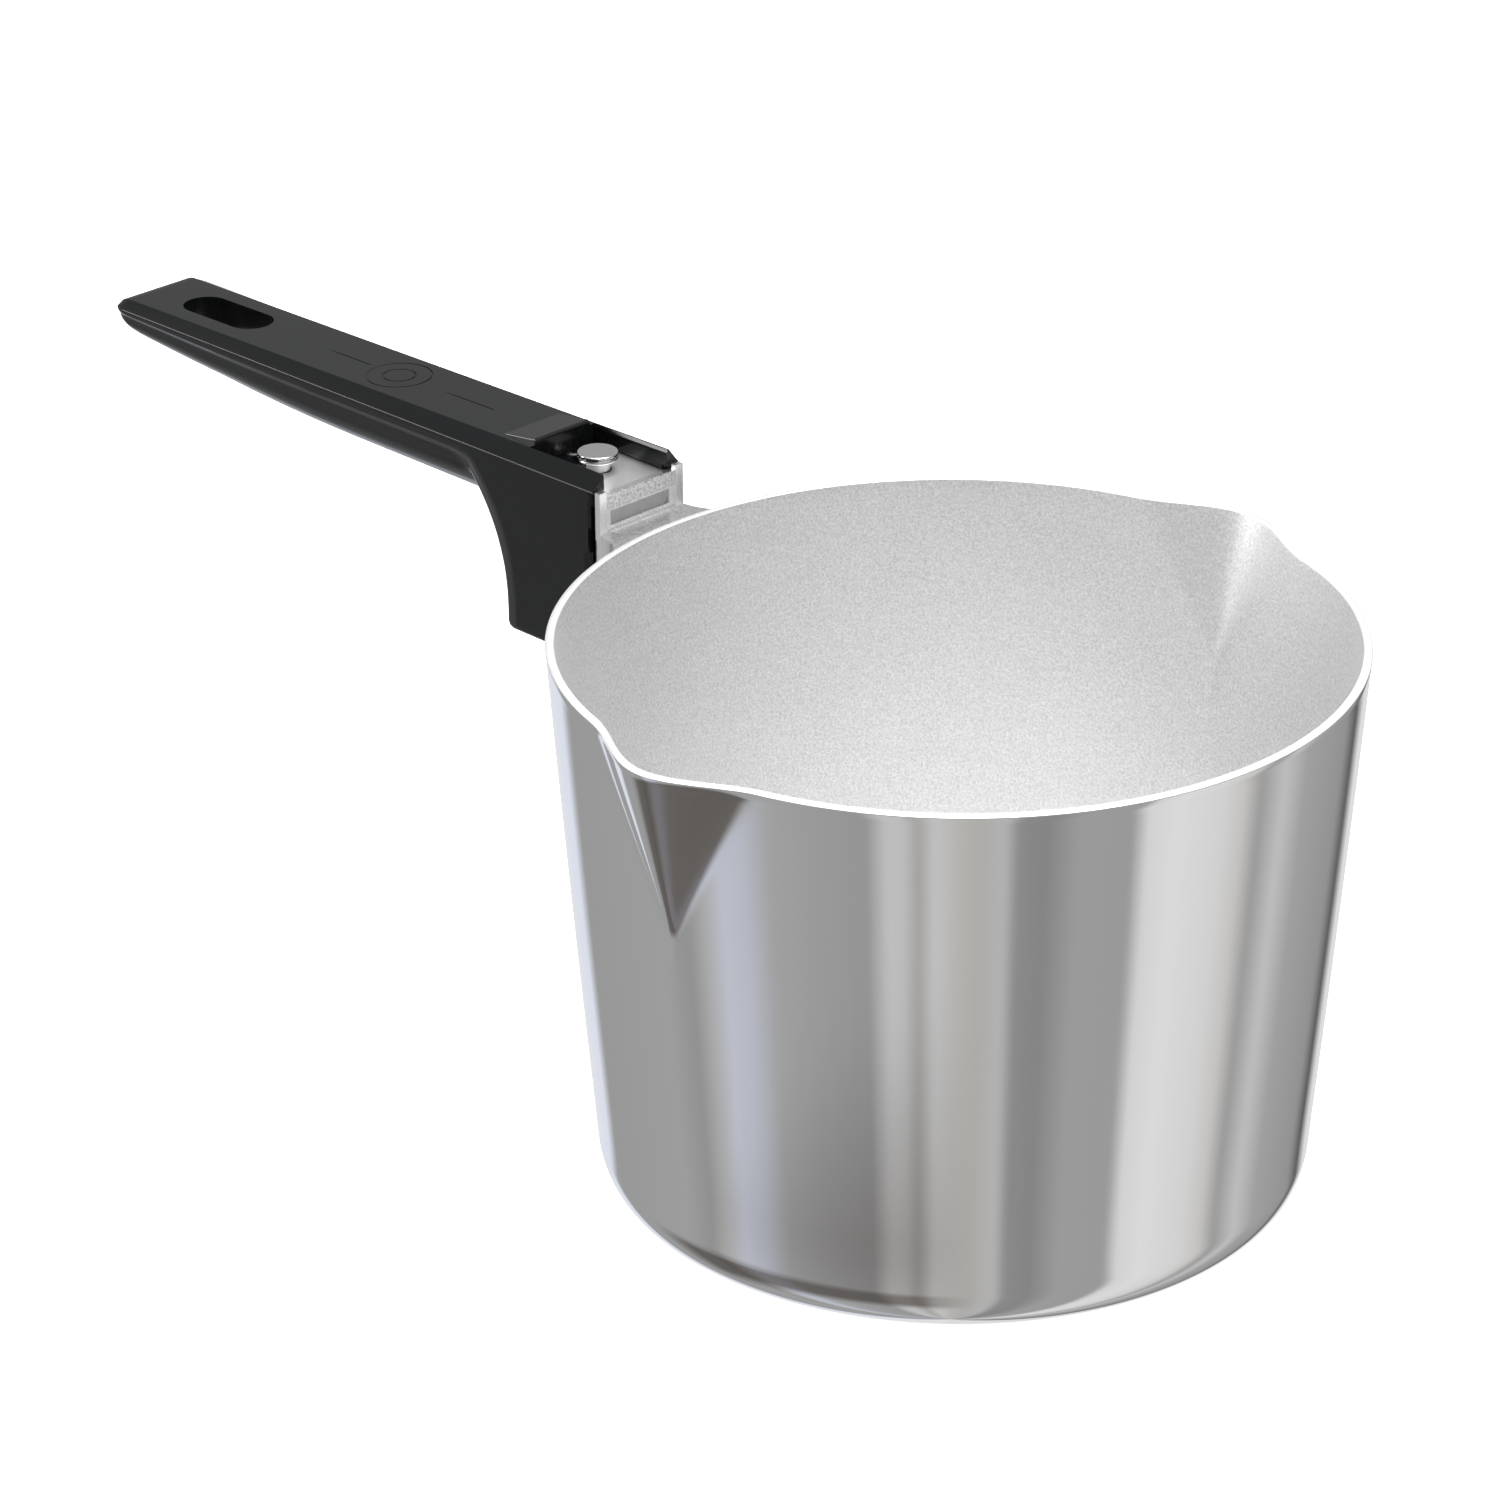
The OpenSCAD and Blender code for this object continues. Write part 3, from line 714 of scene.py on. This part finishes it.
side_steps = [(12.0, 2.4), (11.94, 1.9), (11.8, 1.35), (11.6, 0.9), (11.4, 0.55), (11.25, 0.4),
              (11.1, 0.28), (10.9, 0.15), (10.6, 0.05), (10.2, 0), (9.8, 0), (9.3, 0), (8.6, 0),
              (7.5, 0), (6.0, 0), (3.0, 0)]
slices = side_steps + [(0, 0)] + [(-y, inset) for y, inset in side_steps[::-1]]
cheeks = lofted([[(x, y, z) for x, z in cheek_ring(y, inset)] for y, inset in slices])
handle_mesh = cut(grip, cheeks, "UNION")

# The thumb ramp behind the window, then the openings cut through the moulding: the
# front face below the brow, the window, the tongue's channel, the leaf's seat and
# well, the heel's socket and the hanging slot.
ramp_back, ramp_half, ramp_rise, ramp_edge = -121.3, 7.7, 1.2, 0.25
ramp_side = [(ramp_back, -0.4), (ramp_back, 0.02), (-113.4, ramp_rise - 0.12),
             (-112.7, ramp_rise), (window_x - 0.15, ramp_rise - 0.2),
             (window_x, ramp_rise - 0.7), (window_x, -0.4)]
ramp = prism(ramp_side, -ramp_half, ramp_half)
bmesh.ops.rotate(ramp, cent=(0, 0, 0), matrix=Matrix.Rotation(math.radians(90), 3, "X"),
                 verts=ramp.verts)
bmesh.ops.translate(ramp, vec=(0, 0, top_height(-117)), verts=ramp.verts)
handle_mesh = cut(handle_mesh, rounded(ramp, ramp_edge, 50), "UNION")
window_ends = []
for x in (window_x, front_x + 4):
    high = top_height(x)
    half = [(window_half, jaw_z), (window_half, high - 0.8), (window_half + 0.24, high - 0.14),
            (flat_half + 0.04, high), (flat_half + 0.3, high + 3)]
    window_ends.append([(x, y, z) for y, z in half + [(-y, z) for y, z in half[::-1]]])
front_face = box_mesh((front_x, -20, cheek_low - 5), (front_x + 5, 20, brow_z))
channel = box_mesh((tongue_end - 0.7, -tongue_half - fit_gap, jaw_z),
                   (past_front, tongue_half + fit_gap, tongue_top + fit_gap))
leaf_seat = box_mesh((window_x - 0.4, -window_half + 0.1, jaw_z - seat_deep),
                     (seat_front, window_half - 0.1, tongue_top))
leaf_well = box_mesh((well_back, -well_half, jaw_z - well_deep),
                     (past_front, well_half, jaw_z + fit_gap))
heel_socket = box_mesh((heel_x - 2 * fit_gap, -heel_half - fit_gap, heel_low - fit_gap),
                       (past_front, heel_half + fit_gap, heel_high + fit_gap))
slot_x, slot_half, slot_r = -218.2, 12.5, 5.0
slot_reach = slot_half - slot_r
slot_plan = (arc_points(slot_x + slot_reach, 0, slot_r, slot_r, -90, 90, 14)
             + arc_points(slot_x - slot_reach, 0, slot_r, slot_r, 90, 270, 14))
hanging_slot = prism(slot_plan, 90, 140)
for opening in (front_face, lofted(window_ends), channel, leaf_seat, leaf_well, heel_socket,
                hanging_slot):
    handle_mesh = cut(handle_mesh, opening)

# Engraved on the flat top: a thin line on each side of two plain rings.
line_w, line_deep = 0.3, 0.2
mark_x, mark_r, inner_mark_r, mark_gap = -162.5, 7.0, 3.5, 2
line_back, line_front = -190, -133
for start, end in ((line_back, mark_x - mark_r - mark_gap),
                   (mark_x + mark_r + mark_gap, line_front)):
    middle = top_height((start + end) / 2)
    line = box_mesh((start, -line_w / 2, middle - line_deep), (end, line_w / 2, middle + 1))
    handle_mesh = cut(handle_mesh, line)
for radius in (mark_r, inner_mark_r):
    groove = bmesh.new()
    side = [groove.verts.new((mark_x + radius + dx, 0, top_height(mark_x) + dz))
            for dx, dz in ((-line_w / 2, -line_deep), (line_w / 2, -line_deep),
                           (line_w / 2, 1), (-line_w / 2, 1))]
    for first, second in zip(side, side[1:] + side[:1]):
        groove.edges.new((first, second))
    bmesh.ops.spin(groove, geom=groove.verts[:] + groove.edges[:], axis=(0, 0, 1),
                   cent=(mark_x, 0, 0), angle=2 * math.pi, steps=64, use_merge=True)
    bmesh.ops.recalc_face_normals(groove, faces=groove.faces)
    handle_mesh = cut(handle_mesh, groove)
handle = finished_piece("handle_moulding", rounded(handle_mesh, moulding_edge, 55), sharp=19,
                        level=True)


def moulded_black(name, colour, roughness):
    """Black phenolic: a faint mould texture and a gloss that varies a little."""
    material, tree, shader = new_material(name)
    skin = add_node(tree.nodes, "ShaderNodeGroup", node_tree=grain)
    skin.inputs["Grains per metre"].default_value = 2600
    skin.inputs["Low"].default_value = roughness - 0.02
    skin.inputs["High"].default_value = roughness + 0.02
    tree.links.new(skin.outputs["Tone"], shader.inputs["Roughness"])
    darker = tuple(0.85 * c for c in colour)
    shade = ramp_node(tree, skin.outputs["Clouds"], [(0.3, darker), (0.7, colour)])
    tree.links.new(shade, shader.inputs["Base Color"])
    shader.inputs["IOR"].default_value = 1.46
    bump = add_node(tree.nodes, "ShaderNodeBump")
    bump.inputs["Strength"].default_value = 0.03
    bump.inputs["Distance"].default_value = 0.00003
    tree.links.new(skin.outputs["Specks"], bump.inputs["Height"])
    tree.links.new(bump.outputs["Normal"], shader.inputs["Normal"])
    return material


handle.data.materials.append(moulded_black("black_phenolic", (0.005, 0.0055, 0.006), 0.15))
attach(handle, "handle")
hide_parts("handle_body")

# ---------------------------------------------------------------- push button
# A turned steel stud with a thin mushroom head, a groove and a second ring. Its
# lower end is riveted over a washer under the leaf.
head_z, head_r, stem_r, rivet_r = rim_z + 9.0, 4.25, 2.6, 1.5
leaf_z, leaf_t, washer_t = 116.2, 0.5, 0.6
rivet_z = leaf_z - leaf_t - washer_t - 0.3   # lower end of the stud, riveted over
button_profile = (
    [(0, rivet_z), (rivet_r - 0.2, rivet_z), (rivet_r, rivet_z + 0.2), (rivet_r, leaf_z),
     (stem_r, leaf_z), (stem_r, 118.6), (stem_r + 0.05, 120.2), (stem_r + 0.12, 121.5),
     (head_r - 0.35, 121.75), (head_r - 0.1, 121.9), (head_r - 0.05, 122.1),
     (head_r - 0.15, 122.28), (head_r - 0.8, 122.32), (head_r - 0.85, 122.75),
     (head_r - 0.15, 122.82), (head_r, 122.95), (head_r, 123.2)]
    + arc_points(head_r - 0.3, 123.2, 0.3, 0.3, 0, 90, 4) + [(head_r - 0.6, head_z), (0, head_z)])
button_mesh = spun(button_profile, 64)
bmesh.ops.translate(button_mesh, vec=(button_x, 0, 0), verts=button_mesh.verts)
button = finished_piece("push_button", button_mesh, sharp=35)
bright_steel = polished_metal("bright_steel", (0.86, 0.86, 0.87), 0.08, 0.16, 0.00002)
button.data.materials.append(bright_steel)
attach(button, "button")
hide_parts("latch_button")
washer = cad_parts["button_washer"]
washer.data.materials.clear()
washer.data.materials.append(bright_steel)

# ---------------------------------------------------------------- leaf and screws
# A strip of spring steel with a locking tooth lies under the tongue; two pan-head
# screws, zinc plated, hold its tab down in the rear corners of the window.
strip_steel = polished_metal("spring_strip", (0.42, 0.43, 0.45), 0.22, 0.34, 0.00004)
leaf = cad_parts["latch_spring"]
leaf.data.materials.clear()
leaf.data.materials.append(strip_steel)
screw_x, screw_y, screw_head_r = -109.8, 6.0, 2.2
shank_r, shank_tip_r, shank_long, head_side, head_rise = 1.45, 1.2, 8, 0.8, 1.6
recess_long, recess_wide = 1.1, 0.25         # half sizes of the cross recess
zinc = polished_metal("zinc_plate", (0.8, 0.81, 0.83), 0.12, 0.22, 0.00003)
for sign, side_name in ((-1, "near"), (1, "far")):
    screw_profile = (
        [(0, leaf_z - shank_long), (shank_tip_r, leaf_z - 7.4), (shank_r, leaf_z - 6.6),
         (shank_r, leaf_z), (screw_head_r, leaf_z), (screw_head_r, leaf_z + head_side)]
        + arc_points(screw_head_r - 0.8, leaf_z + head_side, 0.8, 0.8, 0, 90, 5)
        + [(0, leaf_z + head_rise)])
    screw_mesh = spun(screw_profile, 40)
    middle_y = sign * screw_y
    bmesh.ops.translate(screw_mesh, vec=(screw_x, middle_y, 0), verts=screw_mesh.verts)
    for half_x, half_y in ((recess_long, recess_wide), (recess_wide, recess_long)):
        arm = box_mesh((screw_x - half_x, middle_y - half_y, leaf_z + 0.8),
                       (screw_x + half_x, middle_y + half_y, leaf_z + 3))
        screw_mesh = cut(screw_mesh, arm)
    screw = finished_piece("leaf_screw_" + side_name, screw_mesh, sharp=35)
    screw.data.materials.append(zinc)
    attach(screw, "handle")
    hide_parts("spring_screws")
